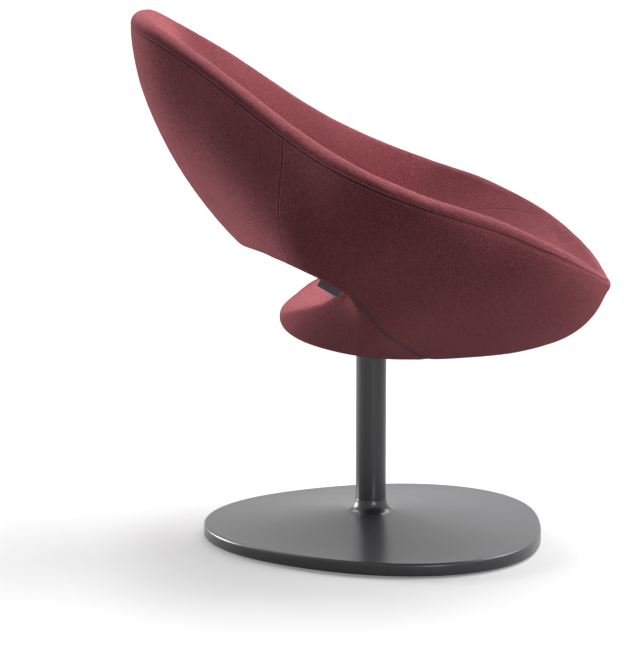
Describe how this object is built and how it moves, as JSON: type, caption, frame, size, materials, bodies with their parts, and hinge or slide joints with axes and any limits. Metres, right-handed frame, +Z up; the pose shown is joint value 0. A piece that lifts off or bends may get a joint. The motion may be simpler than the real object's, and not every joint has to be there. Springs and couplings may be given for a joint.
{
  "type": "swivel lounge chair",
  "caption": "Upholstered swivel lounge chair: a fabric tub seat with a swept back and an open gap above the tail, on a single column and a low domed base.",
  "frame": {"origin": "on the column's axis at the floor, under the middle of the chair", "axes": "+Z up, the sitter faces -Y, +X is the sitter's left"},
  "size_m": [0.674, 0.686, 0.7695],
  "materials": {
    "black_coat": "satin powder coat",
    "black_rubber": "matt",
    "zinc_steel": "zinc plated",
    "bush_plastic": "matt",
    "bright_steel": "ground",
    "spring_steel": "blackened",
    "dark_steel": "satin",
    "plywood": "sanded birch plywood",
    "frame_steel": "satin",
    "webbing": "elastic weave",
    "foam": "moulded open-cell foam",
    "wool": "heathered woven wool",
    "zip_tape": "woven tape with spiral teeth",
    "tag_weave": "plain woven tape, blank"
  },
  "bodies": {
    "base": {"base_casting": "black_coat", "floor_glides": "black_rubber", "column_tube": "black_coat", "column_plug": "zinc_steel", "column_bolt": "zinc_steel", "bolt_washer": "zinc_steel", "lower_bush": "bush_plastic", "upper_bush": "bush_plastic", "thrust_washer": "bright_steel"},
    "seat": {"spindle": "bright_steel", "retaining_ring": "spring_steel", "swivel_plate": "dark_steel", "seat_screws": "zinc_steel", "tee_nuts": "zinc_steel", "seat_board": "plywood", "frame": "frame_steel", "frame_saddles": "zinc_steel", "saddle_screws": "zinc_steel", "back_webbing": "webbing", "back_foam": "foam", "seat_foam": "foam", "outer_back_cover": "wool", "outer_band_cover": "wool", "inner_back_cover": "wool", "inner_arm_cover_left": "wool", "inner_arm_cover_right": "wool", "seat_cover": "wool", "under_cover": "wool", "zip": "zip_tape", "zip_slider": "spring_steel", "label_tag": "tag_weave"}
  },
  "joints": [
    {"name": "seat_swivel", "type": "hinge", "parent": "base", "child": "seat", "pos_m": [0, 0, 0.294], "axis": [0, 0, 1], "continuous": true}
  ]
}
